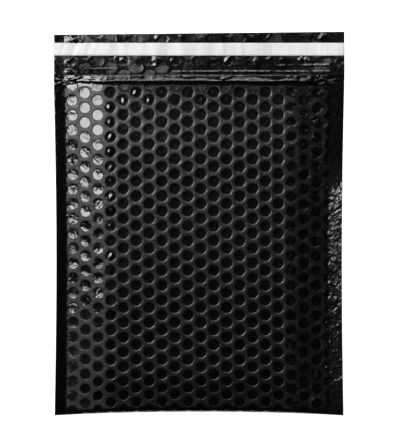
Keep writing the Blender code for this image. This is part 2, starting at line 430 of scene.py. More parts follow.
def shade(tree, output, links, **settings):
    """Ends a material: one shader for plastics and glue, which feeds the output."""
    shader = add(tree, "ShaderNodeBsdfPrincipled", links, **settings)
    tree.links.new(shader.outputs[0], output.inputs[0])


# %% [markdown]
# ## Black polyethylene film
# Blown low-density polyethylene filled with carbon black. Over a bubble the film hangs free and stays
# mirror-smooth. On the web between bubbles it is heat-laminated, which prints a fine haze into it: a
# greyer, rougher surface. The point value `web` says which of the two a place is, and above 1 the film
# is rougher still. `crinkle` says how wrinkled it is there. Crinkles are about 7 mm long, with smaller
# ones on them down to 2 mm. The real grain is finer than a pixel, so it is drawn as coarse as it needs
# to show, at 2.4 mm and less.

# %% Film material
GRAINS_A_METRE = 420.0
GRAIN_BUMP = 0.24 * MM
CRINKLES_A_METRE = 150.0
CRINKLE_BUMP = 1.1 * MM


def polyethylene_film(name, gloss_hex, haze_hex, gloss_rough, haze_rough):
    """Colour and roughness go from gloss to haze with web, and the grain makes the haze uneven. Two bumps
    add to the shape: the grain by web, and the crinkles by crinkle."""
    look, tree, output = new_material(name)
    web = add(tree, "ShaderNodeAttribute", attribute_name="web").outputs["Fac"]
    crinkle = add(tree, "ShaderNodeAttribute", attribute_name="crinkle").outputs["Fac"]
    place_at = add(tree, "ShaderNodeTexCoord").outputs["Object"]
    grain = add(tree, "ShaderNodeTexNoise", {"Vector": place_at}, Scale=GRAINS_A_METRE, Detail=2.0)
    colour = add(tree, "ShaderNodeMix", {"Factor": web}, data_type="RGBA")
    colour.inputs[6].default_value = linear(gloss_hex)
    colour.inputs[7].default_value = linear(haze_hex)
    even = add(tree, "ShaderNodeMapRange", {"Value": web}, clamp=False, To_Min=gloss_rough, To_Max=haze_rough)
    span = dict(From_Min=0.35, From_Max=0.7, To_Min=-0.04, To_Max=0.14)
    bloom = add(tree, "ShaderNodeMapRange", {"Value": grain.outputs["Fac"]}, **span)
    both = {0: even.outputs[0], 1: bloom.outputs[0]}
    rough = add(tree, "ShaderNodeMath", both, operation="ADD", use_clamp=True)
    haze_bump = add(tree, "ShaderNodeMath", {0: web}, operation="MULTIPLY")
    haze_bump.inputs[1].default_value = 0.9
    by_web = {"Height": grain.outputs["Fac"], "Strength": haze_bump.outputs[0]}
    fine = add(tree, "ShaderNodeBump", by_web, Distance=GRAIN_BUMP)
    winding = dict(Scale=CRINKLES_A_METRE, Detail=2.5, Distortion=1.2)
    swirl = add(tree, "ShaderNodeTexNoise", {"Vector": place_at}, **winding)
    by_crinkle = {"Height": swirl.outputs["Fac"], "Strength": crinkle, "Normal": fine.outputs["Normal"]}
    folds = add(tree, "ShaderNodeBump", by_crinkle, Distance=CRINKLE_BUMP)
    links = {"Base Color": colour.outputs[2], "Roughness": rough.outputs[0], "Normal": folds.outputs[0]}
    shade(tree, output, links, IOR=1.51)
    return look


black_film = polyethylene_film("black_polyethylene_film", "#060607", "#09090a", 0.08, 0.36)
print("materials so far:", black_film.name)

# %% [markdown]
# ## Front of the bag
# The front is the face that shows. Each bubble pulls its patch of film down into a shallow dish with a
# steep little wall round it, and the web beside it rounds down to that wall. In the top rows the skins
# are curled, at the right they are dented, and above the last row only ghosts of rims are left. Towards
# the fold the pits grow shallow. The welds at the sides are crushed: the left one is smooth, the right
# one is full of creases and of rings from flattened bubbles. A displaced grid would need millions of
# faces to draw several hundred round rims, while the tiled cells put their points exactly on each rim.

# %% Sizes on the front
FRONT_PHASE = np.array((1.56, 3.68)) * MM + (-COLUMN, -PITCH / 2)
BACK_PHASE = np.array((1.56, 121.4)) * MM + (-COLUMN, -PITCH / 2)
PIT_DEPTH = 0.42 * MM
PIT_WALL = 0.22 * MM
WALL_FOOT = BUBBLE_RADIUS - 0.05 * MM
WALL_TOP = WALL_FOOT + PIT_WALL
SHOULDER = 0.09 * MM
SHOULDER_RUN = 1.25 * MM
DISH = 0.16 * MM
DEEP_DISH = 0.60 * MM
GHOST_RIM = 0.12 * MM
DENT = 0.7 * MM
LIP_ROLL = 0.8 * MM
FILM_WALL = 0.18 * MM
LAST_ROW_V = 109.5 * MM
KEPT_LEFT_U = -98 * MM
TIRED_U = 69 * MM
GROOVE = (PADDING_END_V - 0.4 * MM, PADDING_END_V + 3.8 * MM)
WRINKLED_BETWEEN = (102 * MM, 119 * MM)
ROUGH_BETWEEN = (-150 * MM, 42 * MM)
NODDING_BETWEEN = (-96 * MM, 62 * MM)
SKIN_FOLDS_BETWEEN = (-100 * MM, 62 * MM)
LEVELLED_BETWEEN = (-88 * MM, -78 * MM)
PRESSED_BETWEEN = (-68 * MM, -16 * MM)
RIM_RINGS = (BUBBLE_RADIUS - 0.35 * MM, WALL_FOOT, WALL_TOP, WALL_TOP + 0.55 * MM)
CRUSHED_RINGS = (1.3 * MM, 2.6 * MM, 3.9 * MM, 5.0 * MM)
SKIN_RINGS = (0.8 * MM, 1.6 * MM, 2.5 * MM)
PIT_CELL = cell_template(RIM_RINGS, 3)
CRUSHED_CELL = cell_template(CRUSHED_RINGS, 3)
CURL_CELL = cell_template(SKIN_RINGS + RIM_RINGS, 3)
FRONT_CREASES = (
    (-109.5, 116.4, -93.5, 121.2, 1.0, 0.9),
    (-91.0, 118.0, -84.0, 118.6, 0.7, 0.9),
    (-82.5, 118.0, -79.5, 119.6, 0.9, 1.0),
    (-78.0, 118.4, -70.0, 119.0, 0.6, 1.2),
    (-71.5, 117.6, -69.5, 120.6, 0.8, 0.8),
    (18.0, 117.2, 25.0, 120.4, 0.9, 0.9),
    (-110.0, 114.5, -96.0, 108.5, 0.7, 0.7),
    (-110.0, 113.5, -101.0, 106.0, 0.6, 0.6),
)
print("a pit is", PIT_DEPTH, "deep, its wall", PIT_WALL, "wide and its dish", DISH, "to", DEEP_DISH)


# %% Pits, creases and curls
def pits(off_u, off_s, column, row, depth, dish, tilt, nod=0.0, lean=0.0):
    """Dish, wall and small tilt of each bubble: the dish is a parabola, the wall a straight rise. nod and
    lean are slopes that they share, down towards the flap and down to the right."""
    radius = np.hypot(off_u, off_s)
    floor = 1 - np.clip((radius - WALL_FOOT) / PIT_WALL, 0, 1)
    hollow = dish * (1 - np.minimum(radius / BUBBLE_RADIUS, 1) ** 2)
    lean_u = tilt * (2 * scatter(column, row, 11) - 1) - lean
    lean_s = tilt * (2 * scatter(column, row, 12) - 1) - nod
    return -depth * floor - hollow * floor * depth / PIT_DEPTH + (lean_u * off_u + lean_s * off_s) * floor


def creases(u, s, rows):
    """Straight creases: bells across their lines that fade at both ends. A row gives the two ends, the
    height and the half width, in millimetres."""
    total = 0 * u
    for start_u, start_s, end_u, end_s, height, width in rows:
        length = math.hypot(end_u - start_u, end_s - start_s)
        run_u = (end_u - start_u) / length
        run_s = (end_s - start_s) / length
        out_u = u / MM - start_u
        out_s = s / MM - start_s
        fade = band(out_u * run_u + out_s * run_s, 0, length, 0.3 * length)
        total = total + height * MM * fade * bell(out_s * run_u - out_u * run_s, width)
    return total


def curls(off_u, off_s, column, row):
    """A small curl in a bubble's skin: a leaning bell near its middle, different in each bubble."""
    lean = 0.9 * (scatter(column, row, 51) - 0.4)
    at_u = off_u - 1.6 * MM * (scatter(column, row, 52) - 0.5) - lean * off_s
    at_s = off_s - 1.6 * MM * (scatter(column, row, 53) - 0.5)
    height = 0.85 * MM * scatter(column, row, 54)
    return height * np.exp(-((at_u / (1.35 * MM)) ** 2) - (at_s / (2.2 * MM)) ** 2)


def curled(centre_u, centre_s):
    """True for the bubbles whose skin has a curl: the top rows on the left, and one column by them."""
    top_rows = (centre_s > 98 * MM) & (centre_u < 24 * MM) & (centre_u > -78 * MM)
    one_column = (np.abs(centre_u + 73 * MM) < 4 * MM) & (centre_s > -40 * MM)
    return top_rows | one_column


def shoulders(radius):
    """The web rounds down to each rim: one less the share of the way out, squared."""
    return -SHOULDER * (1 - np.clip((radius - WALL_TOP) / SHOULDER_RUN, 0, 1)) ** 2


def corner_fan(u, v, corner_u, reach, spokes):
    """Creases that fan out from a corner of the mouth: a sine of the angle, fading with distance."""
    away_u = u - corner_u
    away_v = v - RIDGE_V
    angle = np.arctan2(away_v, away_u)
    return 0.55 * MM * np.sin(spokes * angle) * np.exp(-np.hypot(away_u, away_v) / reach)


# %% [markdown]
# The front is not the same everywhere: it is worn and slack at the right, hangs deep in the lower left,
# and is crushed at its borders. Each of these places is a share from 0 to 1, worked out once. The
# height, the haze and the crinkles are then sums of small effects times such shares.


# %% Zones of the front
class Zones:
    """Shares for every point of a surface, each kept under its own name."""


def front_zones(u, s):
    """What the film is at each place, as shares from 0 to 1 that ease across their borders, with its
    nearest bubble. kept is true up to the last row, and whole is how much of a bubble is left."""
    zone = Zones()
    zone.bubble = nearest_bubble(u, s, FRONT_PHASE)
    off_u, off_s, _, _ = zone.bubble
    zone.radius = np.hypot(off_u, off_s)
    zone.left_weld = ease((SEAL_LEFT_U + 1.2 * MM - u) / (1.6 * MM))
    zone.right_weld = ease((u - SEAL_RIGHT_U + 0.6 * MM) / (1.6 * MM))
    zone.inside = (1 - zone.left_weld) * (1 - zone.right_weld)
    zone.lip = ease((s - PADDING_END_V) / STEP_RUN)
    zone.padded = zone.inside * (1 - 0.8 * zone.lip) * (1 - ease((FOLD_V + 9 * MM - s) / (8 * MM)))
    zone.kept = ((s - off_s) < LAST_ROW_V) | (u < KEPT_LEFT_U)
    zone.whole = zone.padded * zone.kept
    zone.near_fold = ease((FOLD_V + 58 * MM - s) / (52 * MM))
    zone.worn = ease((u - TIRED_U) / (8 * MM))
    zone.tired = ease((u - 62 * MM) / (26 * MM))
    zone.left_slope = ease((SEAL_LEFT_U + 40 * MM - u) / (10 * MM))
    zone.left_side = ease((SEAL_LEFT_U + 66 * MM - u) / (34 * MM))
    zone.by_weld = ease((SEAL_LEFT_U + 11 * MM - u) / (6 * MM))
    zone.lower = ease((78 * MM - s) / (100 * MM)) * (1 - 0.85 * ease((-58 * MM - s) / (32 * MM)))
    zone.below = ease((70 * MM - s) / (90 * MM))
    zone.rough_weld = zone.right_weld * (0.22 + 0.78 * band(s, *ROUGH_BETWEEN, 26 * MM))
    zone.ghost = bell(zone.radius - WALL_FOOT, 0.5 * MM) * (1 - zone.kept) * zone.padded
    zone.dent = crumple(u / (3.6 * MM), s / (4.6 * MM), 55)
    return zone


# %% Relief of the front
def bubble_relief(u, s, zone):
    """What the bubbles do to the film: pits with rounded shoulders, and curls, dents or ghosts of rims."""
    off_u, off_s, column, row = zone.bubble
    depth = PIT_DEPTH * zone.whole * (1 - 0.62 * zone.tired) * (1 - 0.72 * zone.near_fold)
    dish = DISH + (DEEP_DISH - DISH) * zone.lower * zone.left_slope
    tilt = 0.010 + 0.025 * zone.left_side + 0.02 * zone.left_slope * zone.lower
    tilt = tilt + 0.03 * zone.by_weld + 0.10 * zone.tired + 0.05 * zone.lip
    nod = 0.10 * zone.left_slope * band(s, *NODDING_BETWEEN, 40 * MM)
    nod = nod * (0.1 + scatter(column, row, 58)) * zone.whole
    lean = 0.09 * band(u - off_u, *LEVELLED_BETWEEN, 2 * MM) * ease((50 * MM - s) / (40 * MM))
    relief = pits(*zone.bubble, depth, dish, tilt * zone.whole, nod, lean * zone.whole)
    relief += GHOST_RIM * zone.ghost
    relief += shoulders(zone.radius) * zone.whole * (1 - 0.85 * zone.near_fold)
    fading = 1 - 0.60 * ease((u + 75 * MM) / (60 * MM))
    skin = curled(u - off_u, s - off_s) * zone.whole * (zone.radius < WALL_FOOT) * fading
    relief += curls(*zone.bubble) * skin
    return relief + zone.worn * zone.whole * DENT * zone.dent * (zone.radius < WALL_TOP)


def film_relief(u, s, zone):
    """What the film does by itself: wrinkles under the mouth, crushed and puckered welds, waves on the
    lip, fans at the corners of the mouth and a rolled edge."""
    height = 0.22 * MM + 0.50 * MM * zone.left_slope * ease((s - 113 * MM) / (3 * MM))
    wrinkles = band(s, *WRINKLED_BETWEEN, 4 * MM) * zone.inside * height
    relief = wrinkles * crumple(u / (7 * MM), s / (3.4 * MM), 56) * (zone.radius > WALL_TOP)
    relief += creases(u, s, FRONT_CREASES)
    crushed = 0.45 * MM * crumple(u / (4.0 * MM), s / (4.6 * MM), 31)
    crushed += 0.34 * MM * crumple(u / (2.0 * MM), s / (1.7 * MM), 32)
    crushed += 0.30 * MM * bell(zone.radius - WALL_FOOT, 0.6 * MM)
    relief += zone.rough_weld * (crushed - 0.3 * MM)
    relief += zone.left_weld * 0.05 * MM * waves(u / (5 * MM), s / (30 * MM), 33)
    slack = crumple(u / (6 * MM), s / (7 * MM), 34)
    relief += zone.tired * (1 - zone.right_weld) * 0.60 * MM * slack
    pinched = zone.by_weld * (1 - zone.left_weld) * (1 - zone.lip)
    pinched = pinched * (0.6 + 0.9 * ease((-50 * MM - s) / (50 * MM)))
    relief += pinched * 0.50 * MM * crumple(u / (4 * MM), s / (5 * MM), 38)
    seam = bell(u - SEAL_LEFT_U, 1.3 * MM) + bell(u - SEAL_RIGHT_U, 1.3 * MM)
    relief += seam * 0.16 * MM * waves(u / (6 * MM), s / (1.8 * MM), 39)
    lip_waves = waves(u / (9 * MM), s / (4 * MM), 35) + 0.4 * waves(u / (4 * MM), s / (2.5 * MM), 36)
    relief += zone.lip * zone.inside * 0.34 * MM * lip_waves
    relief += corner_fan(u, s, SEAL_LEFT_U, 7 * MM, 11) + 0.6 * corner_fan(u, s, SEAL_RIGHT_U, 6 * MM, 9)
    relief += 0.10 * MM * waves(u / (45 * MM), s / (50 * MM), 37) * zone.padded
    return relief - LIP_ROLL * ease((s - MOUTH_V + 1.0 * MM) / (1.0 * MM))


# %% Haze and crinkles of the front
def front_web(u, s, zone):
    """Haze of the film: 0 over a bubble and 1 past its wall, with hazy rims below and worn bubbles at the
    right. The groove under the lip and the left weld have none. The flap's bubbles print discs on the lip."""
    web = np.clip((zone.radius - WALL_FOOT) / (0.5 * PIT_WALL), 0, 1)
    web = web + 0.6 * zone.below * bell(zone.radius - BUBBLE_RADIUS, 0.3 * MM)
    low_rims = zone.below * np.clip((zone.radius - BUBBLE_RADIUS + 0.35 * MM) / (0.3 * MM), 0, 1)
    web = np.maximum(np.maximum(web, low_rims), zone.worn * (0.15 + 0.75 * zone.dent))
    web = web * (1 - 0.22 * ease((s - 55 * MM) / (55 * MM)) + 0.75 * zone.left_slope)
    web = np.where(zone.kept, web, 0.62 - 0.3 * zone.ghost) * np.clip(zone.padded + 0.1, 0, 1)
    web = web * (1 - band(s + 0.9 * MM * waves(u / (6 * MM), 0 * u, 59), *GROOVE, 1.6 * MM))
    flap_u, flap_s, _, _ = nearest_bubble(u, s, BACK_PHASE)
    discs = ease((WALL_FOOT - np.hypot(flap_u, flap_s)) / (0.8 * MM))
    pressed = band(u, *PRESSED_BETWEEN, 4 * MM) * discs
    web = web * (1 - zone.lip) + zone.lip * (0.06 + 0.7 * pressed)
    return np.maximum(web * (1 - zone.left_weld), 0.36 * zone.rough_weld)


def front_crinkle(s, zone):
    """Share of crinkles: few in the middle, more on the slack left, at the tired right and on the lip."""
    skin_folds = 0.36 * zone.lower + 0.22 * band(s, *SKIN_FOLDS_BETWEEN, 30 * MM)
    crinkle = 0.08 + 0.10 * zone.left_side + zone.left_slope * skin_folds
    crinkle = crinkle + 0.35 * zone.by_weld + 0.45 * zone.tired + 0.3 * zone.lip
    crinkle = crinkle * (1 - zone.right_weld) + 0.9 * zone.rough_weld
    return np.clip(crinkle, 0, 1) * (1 - zone.left_weld)


# %% Pieces from meshes
def thicken(thing, wall, side):
    """Gives a sheet its wall with a Solidify modifier: inwards for side -1."""
    shell = thing.modifiers.new("wall", "SOLIDIFY")
    shell.thickness = wall
    shell.offset = side
    shell.use_even_offset = False
    return shell


def make_piece(mesh, look, node):
    """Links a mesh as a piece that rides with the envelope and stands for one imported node."""
    mesh.materials.append(look)
    mesh.shade_smooth()
    thing = bpy.data.objects.new(mesh.name, mesh)
    bpy.context.scene.collection.objects.link(thing)
    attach(thing, "root")
    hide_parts(node)
    return thing


def crushed_zone(u, s):
    """True where the film is crushed flat: over the welds, the lip and the flap."""
    return (u < SEAL_LEFT_U - 2 * MM) | (u > SEAL_RIGHT_U - 2 * MM) | (s > PADDING_END_V + 1 * MM)


def front_cells(u, s):
    """0 for a clean bubble, 1 for crushed or tired film, 2 for a bubble with a curl."""
    flat = crushed_zone(u, s) | (u > TIRED_U)
    return np.where(flat, 1, np.where(curled(u, s), 2, 0))


# %% [markdown]
# The front is one web of cells in flat film. Its points are lifted to the padding's upper side, moved by
# the relief, and puckered beside the welds, where the heat shrank the film. The relief fades out at the
# fold, so that front and back meet.

# %% Front piece
RELIEF_NOSE = 1.5 * MM
LIP_CUTS = np.array((-1.0, 0.6, 1.6, 2.6, 3.4, 3.9, 4.1, 4.4, 4.9, 5.8, 7.0, 8.1, 8.6, 9.0)) * MM
front_mesh = bubble_web(
    "film_front",
    (-HALF_WIDTH, FILM_START),
    (HALF_WIDTH, MOUTH_V),
    FRONT_PHASE,
    (PIT_CELL, CRUSHED_CELL, CURL_CELL),
    front_cells,
    PADDING_END_V + LIP_CUTS,
)
u, s = flat_points(front_mesh)
v = unroll(s)
zone = front_zones(u, s)
relief = bubble_relief(u, s, zone) + film_relief(u, s, zone)
x, y = place(u, v)
near_weld = bell(u - SEAL_LEFT_U, 3 * MM) + bell(u - SEAL_RIGHT_U, 3 * MM)
puckered = u + near_weld * (0.7 * MM * waves(u / (9 * MM), s / (4.5 * MM), 44) - 0.4 * MM)
wander = 0.5 * MM * waves(u / (15 * MM), 0 * u, 60)
wander = wander * band(v, PADDING_END_V, MOUTH_V - 0.6 * MM, 1.5 * MM)
z = middle_height(puckered, v) + bag_thickness(puckered, v + wander) / 2 + relief * nose(v, 0, RELIEF_NOSE)
set_points(front_mesh, x, y, z)
set_value(front_mesh, "web", front_web(u, s, zone))
set_value(front_mesh, "crinkle", front_crinkle(s, zone))
film_front = make_piece(front_mesh, black_film, "outer_film")
thicken(film_front, FILM_WALL, -1)
print("front height", z.min(), z.max())

# %% [markdown]
# ## Back and flap
# The same web of film goes on round the fold, up the back and out past the mouth as the flap. The flap
# has gone through the heated jaws that cut and crush it, so its bubbles are flat and only differ in
# haze. Blisters, long creases across it and crumpled corners are set where a real one shows them, since
# they are few and large.

# %% Sizes on the back and the flap
FLAP_FLOOR = 0.9 * MM
BACK_PIT = 0.35 * MM
BACK_CELL = cell_template((BUBBLE_RADIUS - 0.40 * MM, WALL_FOOT, WALL_TOP), 3)
FLAP_CELL = cell_template((1.2 * MM, 2.4 * MM, 3.6 * MM, WALL_FOOT, WALL_TOP), 3)
RIGHT_CRUSH = 0.45 * MM
TOOTH = 4.5 * MM
LIT_ACROSS = (-76 * MM, -10 * MM)
LIT_ALONG = (108 * MM, 131 * MM)
CRUMPLED_BETWEEN = (-110 * MM, -94 * MM)
LONG_CREASES = (
    (129.2, 0.55, 0.8, 60, 118),
    (126.4, 0.60, 0.7, -90, -62),
    (124.3, 0.62, 0.8, -25, 118),
)
BLISTERS = (
    (-105, 153.5, 3.0), (-101, 152.5, 2.6), (-106, 135.2, 2.4), (-106.5, 124.3, 1.8), (-35.5, 134.5, 2.6),
    (-34.5, 130.5, 2.0), (-63, 134.5, 1.6), (-22, 134, 1.6), (23.5, 134.5, 2.4), (39, 133.5, 1.6),
    (46.5, 133.5, 1.8), (57, 134, 1.9), (68, 134, 1.7), (83, 134, 2.4), (-34, 153.5, 2.0), (-14, 153, 1.8),
    (57.5, 152.5, 1.6), (101, 152.5, 2.4),
)
FLAP_WEDGES = (
    (-109.5, 132.0, -102.0, 137.0, 1.1, 1.2),
    (-109.0, 124.0, -103.0, 124.8, 1.0, 1.0),
    (86.0, 136.0, 91.5, 131.0, 0.8, 0.9),
    (-90.0, 126.3, -70.0, 126.6, 0.5, 0.5),
)
print("the flap has", len(LONG_CREASES), "long creases and", len(BLISTERS), "blisters")


# %% Relief of the back and the flap
def flap_creases(u, s):
    """Long creases across the flap: bells that wander and fade along their run. A row gives the place
    along the film, the height, the half width and the two ends, in millimetres."""
    total = 0 * u
    for number, (place_s, height, width, low, high) in enumerate(LONG_CREASES):
        row = np.full(u.shape, float(number))
        wander = 0.35 * MM * waves(u / (30 * MM), row, 24)
        share = 0.65 + 0.35 * waves(u / (9 * MM), row, 25)
        reach = 0.15 + 0.85 * band(u, low * MM, high * MM, 10 * MM)
        ridge = bell(s - place_s * MM - wander, width * MM)
        total = total + height * MM * share * reach * ridge
    return total


def flap_blisters(u, s):
    """Small bubbles that the jaws left half flat: leaning bells, longer along the film than across. A row
    gives the place and the size, in millimetres."""
    total = 0 * u
    for number, (at_u, at_s, size) in enumerate(BLISTERS):
        lean = 0.5 * (number % 3 - 1)
        across = (u - at_u * MM - lean * (s - at_s * MM)) / (0.65 * size * MM)
        along = (s - at_s * MM) / (size * MM)
        total = total + 0.50 * size * MM * np.exp(-(across**2) - along**2)
    return total


def back_relief(u, s):
    """Height of the back's relief, web and crinkle values. On the back the pits press upwards."""
    off_u, off_s, column, row = nearest_bubble(u, s, BACK_PHASE)
    radius = np.hypot(off_u, off_s)
    left_weld = ease((SEAL_LEFT_U + 0.5 * MM - u) / (1.5 * MM))
    right_weld = ease((u - SEAL_RIGHT_U + 0.5 * MM) / (1.5 * MM))
    inside = 1 - (left_weld + right_weld)
    flap = ease((s - MOUTH_V + 3 * MM) / (3 * MM))
    fold = ease((FOLD_V + 5 * MM - s) / (4 * MM))
    padded = inside * (1 - flap) * (1 - fold)
    back = -pits(off_u, off_s, column, row, BACK_PIT * padded, DISH, 0.0)
    floor = 1 - ease((radius - WALL_FOOT) / (2 * PIT_WALL))
    lean_u = 0.05 * (scatter(column, row, 22) - 0.5)
    lit = band(u, *LIT_ACROSS, 8 * MM) * band(s, *LIT_ALONG, 3 * MM)
    lean_s = 0.05 * (scatter(column, row, 23) - 0.5) - 0.05 * lit
    flat_bubble = (-0.06 * MM + lean_u * off_u + lean_s * off_s) * floor
    rumple = 0.12 * MM * waves(u / (16 * MM), s / (9 * MM), 26)
    rumple += 0.05 * MM * waves(u / (5 * MM), s / (5 * MM), 27)
    rumple += 0.05 * MM * waves(u / (12 * MM), s / (1.9 * MM), 45)
    corners = ease((np.abs(u) - 92 * MM) / (10 * MM)) * inside
    corners = corners * 0.35 * MM * crumple(u / (3.5 * MM), s / (3.5 * MM), 28)
    top_left = band(u, *CRUMPLED_BETWEEN, 1.5 * MM) * ease((s - liner_high.y - 0.2 * MM) / (1.6 * MM))
    teeth = 0.36 * np.mod(u + 1.5 * MM * waves(s / (3 * MM), 0 * u, 61), TOOTH) - 0.20 * (s - 150 * MM)
    corners = corners + top_left * (teeth + 0.5 * MM * crumple(u / (2.6 * MM), s / (3.4 * MM), 57))
    crushed = right_weld * RIGHT_CRUSH * crumple(u / (2 * MM), s / (5 * MM), 29)
    raised = flap_creases(u, s) + flap_blisters(u, s) + creases(u, s, FLAP_WEDGES)
    flap_form = (flat_bubble + raised + rumple + corners) * inside + crushed
    web = ease((radius - WALL_FOOT) / PIT_WALL) * padded
    by_edge = ease((s - 145 * MM) / (5 * MM))
    patches = ease(1.2 * waves(u / (9 * MM), s / (7 * MM), 46)) * (0.3 + 0.4 * by_edge)
    hazy = floor * (0.03 + 0.50 * scatter(column, row, 40) ** 2 + 0.75 * lit) * inside
    hazy = hazy + 0.03 + patches * inside * (1 - top_left)
    crinkle = 0.1 + 0.12 * flap * inside + 0.5 * top_left
    return back + flap * flap_form, web * (1 - flap) + hazy * flap, crinkle


def flap_rest(u, v):
    """Height at which the flap lies, without its creases: level, and raised towards the welds."""
    return seal_lift(v) * (1 - side_puff(u)) + FLAP_FLOOR + weld_curl(u, v)


# %% Back piece
FLAP_CUTS = np.array((123.5, 124.3, 125.2, 125.8, 126.4, 127.1, 128.4, 129.2, 130.1)) * MM
back_mesh = bubble_web(
    "film_back",
    (-HALF_WIDTH, FILM_START),
    (HALF_WIDTH, FLAP_END_V),
    BACK_PHASE,
    (BACK_CELL, FLAP_CELL),
    crushed_zone,
    FLAP_CUTS,
)
u, s = flat_points(back_mesh)
v = unroll(s)
relief, web, crinkle = back_relief(u, s)
x, y = place(u, v)
flap_share = ease((v - MOUTH_V + 6 * MM) / (6 * MM))
low_side = middle_height(u, v) - bag_thickness(u, v) / 2
z = low_side * (1 - flap_share) + flap_rest(u, v) * flap_share + relief * nose(v, 0, RELIEF_NOSE)
set_points(back_mesh, x, y, np.maximum(z, 0.05 * MM))
back_mesh.flip_normals()
set_value(back_mesh, "web", web)
set_value(back_mesh, "crinkle", crinkle)
film_back = make_piece(back_mesh, black_film, "outer_film")
thicken(film_back, FILM_WALL, -1)
print("back height", z.min(), z.max())

# %% [markdown]
# ## Bubble lining
# Inside, the bubble film faces the pocket with its domes: two layers, one under the front and one over
# the back, joined at the fold and welded at the sides. They show when one looks into the mouth. The same
# tiled cells serve, with a dome in place of the pit.

# %% Lining pieces
DOME_CELL = cell_template((0.5 * BUBBLE_RADIUS, 0.85 * BUBBLE_RADIUS, BUBBLE_RADIUS), 2)
LINING_WALL = 0.12 * MM
LINING_SIDE = 3.5 * MM
LINING_FULL = POCKET_GAP + 2 * LINING
bubble_film = polyethylene_film("black_bubble_film", "#101011", "#1c1c1d", 0.10, 0.30)


def lining_layer(name, phase, side):
    """One layer of bubble film: a sheet near the film, with domes that reach towards the pocket.
    A dome is one less its radius to the fourth power, times the lining's thickness."""
    start = FOLD_V + FILM + CLEARANCE + 1.5 * MM
    low = (SEAL_LEFT_U + LINING_SIDE, start)
    high = (SEAL_RIGHT_U - LINING_SIDE, LINING_END_V)
    mesh = bubble_web(name, low, high, phase, (DOME_CELL,))
    u, v = flat_points(mesh)
    off_u, off_s, _, _ = nearest_bubble(u, v, phase)
    share = np.minimum(np.hypot(off_u, off_s) / BUBBLE_RADIUS, 1)
    folded = LINING_FULL * side_puff(u, LINING_SIDE) * fold_puff(v, FILM + CLEARANCE + 1.0 * MM)
    folded = np.clip(np.minimum(folded, bag_thickness(u, v) - 2.2 * MM), 0, None)
    room = LINING * ease(folded / LINING_FULL * 1.6)
    dome = room * (1 - share**4)
    z = middle_height(u, v) + side * (folded / 2 - dome)
    x, y = place(u, v)
    set_points(mesh, x, y, z)
    if side < 0:
        mesh.flip_normals()
    set_value(mesh, "web", share**4)
    set_value(mesh, "crinkle", 0.15 + 0 * share)
    piece = make_piece(mesh, bubble_film, "bubble_lining")
    thicken(piece, LINING_WALL, -1)
    return piece


lining_front = lining_layer("lining_front", FRONT_PHASE, 1)
lining_back = lining_layer("lining_back", BACK_PHASE, -1)

# %% [markdown]
# ## Glue and liner
# A band of hot-melt glue is laid on the flap and covered by a strip of white release film. The strip is
# stiffer than the bag and held only by the glue, so it lies straight with small ripples across it. Both
# are flat grids lifted by smooth noise and given a wall.
#
# Release film is white-filled polyethylene with a silicone skin, which gives it a satin sheen. Its
# white is darker and lighter in faint stripes across it, 8 mm apart and finer, and in slanted stripes, 4 mm
# apart, at its left end.
# Hot-melt is cast from a nozzle and sets with a soft, lumpy gloss, in lumps of 3 mm.


# %% Liner and glue materials
def release_film():
    """White shaded by noise that is stretched across the strip, and by slanted noise at its left end."""
    look, tree, output = new_material("white_release_film")
    place_at = add(tree, "ShaderNodeTexCoord").outputs["Object"]
    stretch = add(tree, "ShaderNodeMapping", {"Vector": place_at}, Scale=(130.0, 12.0, 1.0))
    # This noise makes the white darker and lighter in stripes across the strip, and it also drives the bump.
    tone_stripes = add(tree, "ShaderNodeTexNoise", {"Vector": stretch.outputs[0]}, Scale=1.0, Detail=2.0)
    turned = add(tree, "ShaderNodeMapping", {"Vector": place_at}, vector_type="TEXTURE")
    turned.inputs["Rotation"].default_value = (0, 0, -0.32)
    turned.inputs["Scale"].default_value = (4.2 * MM, 80 * MM, 1)
    slanted = add(tree, "ShaderNodeTexNoise", {"Vector": turned.outputs[0]}, Scale=1.0, Detail=1.0)
    x_at = add(tree, "ShaderNodeSeparateXYZ", {"Vector": place_at}).outputs["X"]
    span = dict(From_Min=-85 * MM, From_Max=-60 * MM, To_Min=1.0, To_Max=0.0)
    end = add(tree, "ShaderNodeMapRange", {"Value": x_at}, **span)
    both = {0: end.outputs[0], 2: tone_stripes.outputs["Fac"], 3: slanted.outputs["Fac"]}
    mixed = add(tree, "ShaderNodeMix", both)
    tone = add(tree, "ShaderNodeValToRGB", {"Fac": mixed.outputs[0]})
    stops = zip(tone.color_ramp.elements, (0.25, 0.75), ("#d2d2d1", "#f6f6f5"))
    for stop, position, code in stops:
        stop.position = position
        stop.color = linear(code)
    bump = add(tree, "ShaderNodeBump", {"Height": tone_stripes.outputs["Fac"]}, Strength=0.3, Distance=0.0002)
    shade(tree, output, {"Base Color": tone.outputs[0], "Normal": bump.outputs[0]}, Roughness=0.36, IOR=1.45)
    return look


def hot_melt():
    """Yellowish glue whose colour and bump both follow one noise."""
    look, tree, output = new_material("hot_melt_glue")
    place_at = add(tree, "ShaderNodeTexCoord").outputs["Object"]
    lumps = add(tree, "ShaderNodeTexNoise", {"Vector": place_at}, Scale=300.0, Detail=2.0)
    bump = add(tree, "ShaderNodeBump", {"Height": lumps.outputs["Fac"]}, Strength=0.5, Distance=0.0002)
    colour = add(tree, "ShaderNodeValToRGB", {"Fac": lumps.outputs["Fac"]})
    colour.color_ramp.elements[0].color = linear("#b9ae8a")
    colour.color_ramp.elements[1].color = linear("#d8d0b4")
    shade(tree, output, {"Base Color": colour.outputs[0], "Normal": bump.outputs[0]}, Roughness=0.3, IOR=1.48)
    return look


